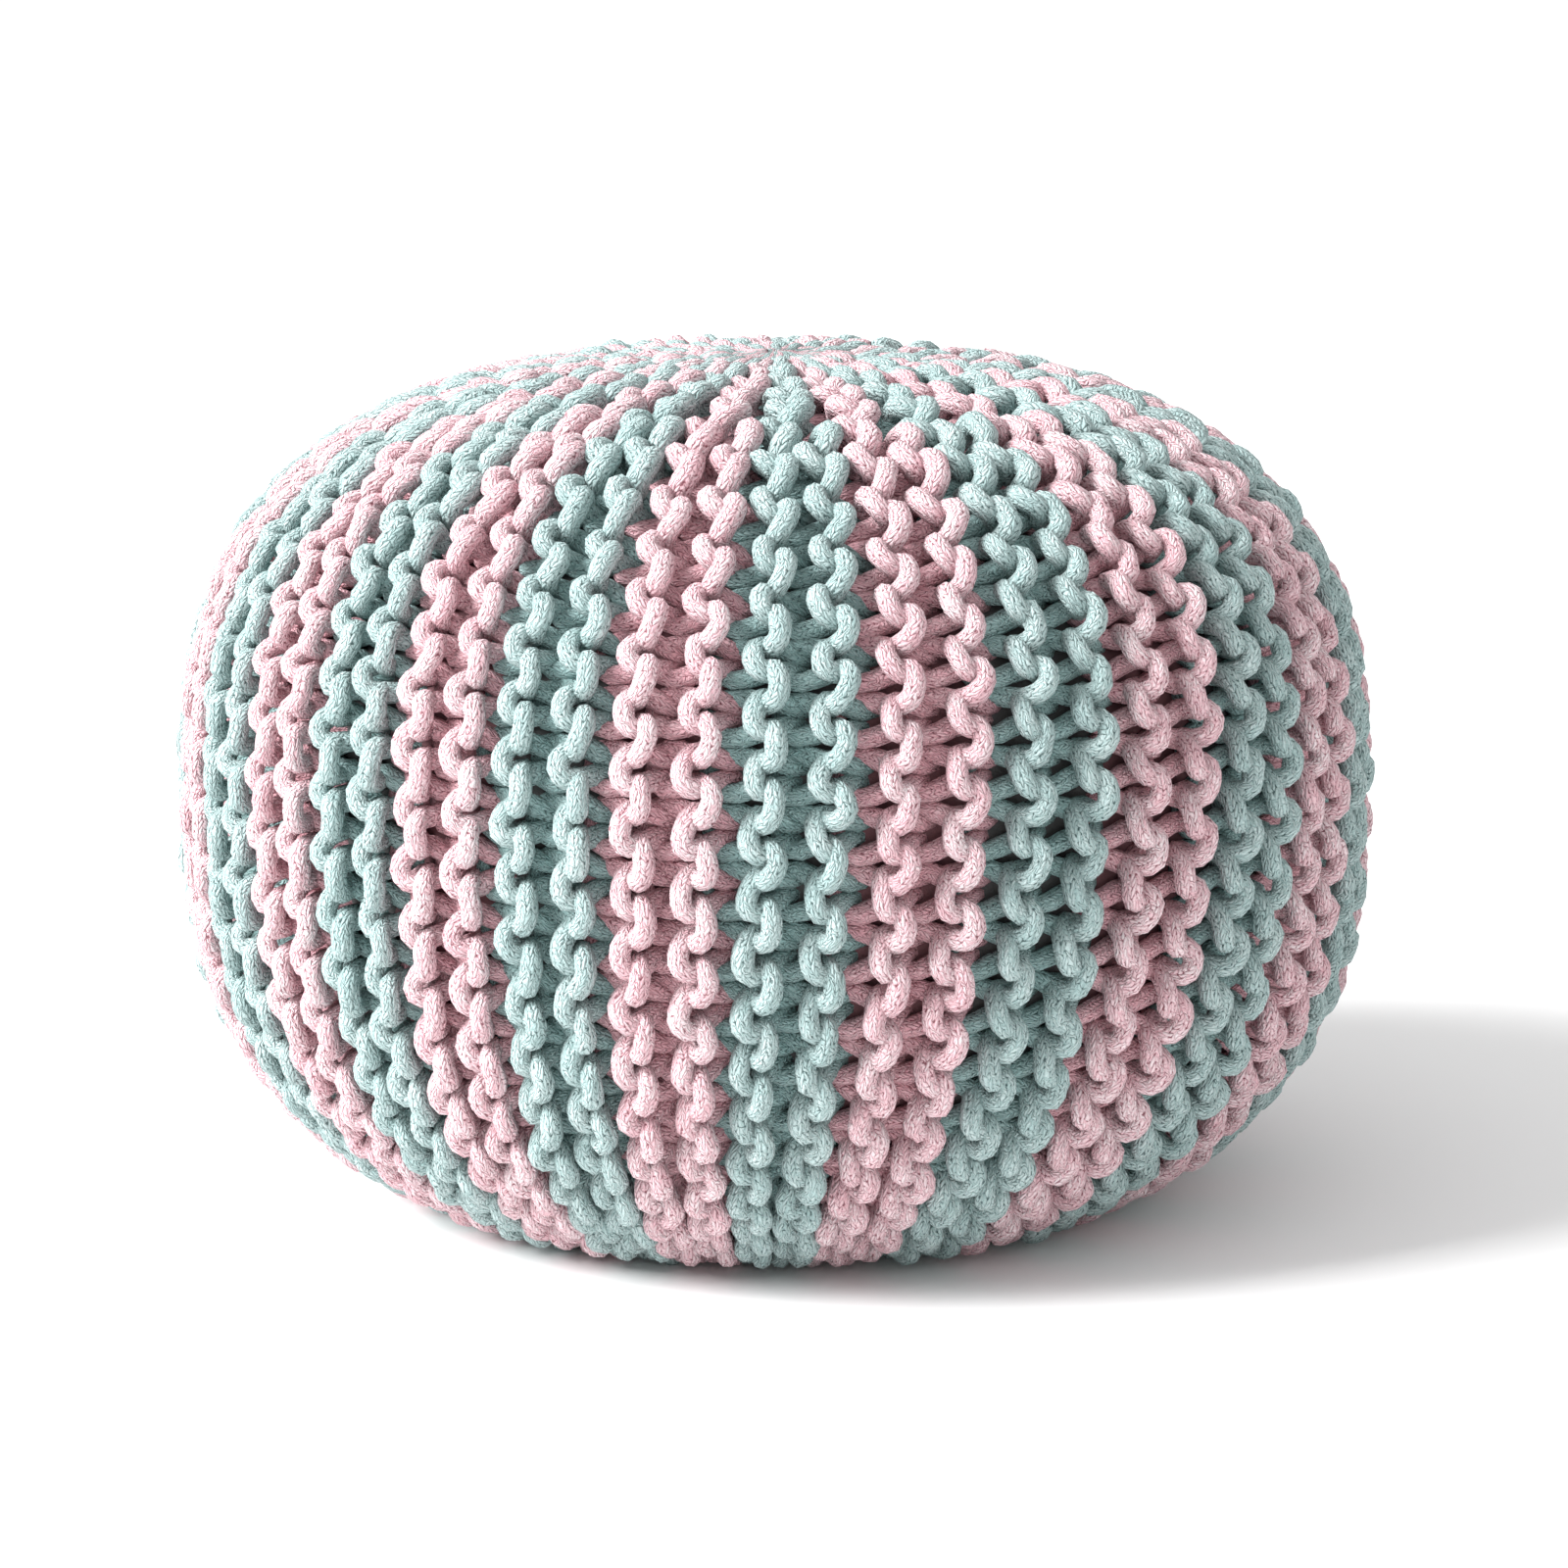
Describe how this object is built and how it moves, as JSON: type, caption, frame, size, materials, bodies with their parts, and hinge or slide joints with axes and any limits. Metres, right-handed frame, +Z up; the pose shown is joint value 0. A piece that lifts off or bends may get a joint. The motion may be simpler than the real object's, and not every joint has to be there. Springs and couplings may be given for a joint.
{
  "type": "round knitted pouf",
  "caption": "Round filled pouf knitted in thick cord in garter stitch, with upright ribs and two-colour stripes that meet at the gathered top, resting on a flat underside.",
  "frame": {"origin": "middle of the flat underside, on the surface that the pouf stands on", "axes": "+Z up along the pouf's axis; -Y towards the side shown in the picture"},
  "size_m": [0.4198, 0.4198, 0.2943],
  "materials": {
    "pink_cord": "matte braided cotton cord, pink",
    "grey_green_cord": "matte braided cotton cord, grey-green"
  },
  "bodies": {
    "root": {"pouf": "pink_cord"}
  },
  "joints": []
}
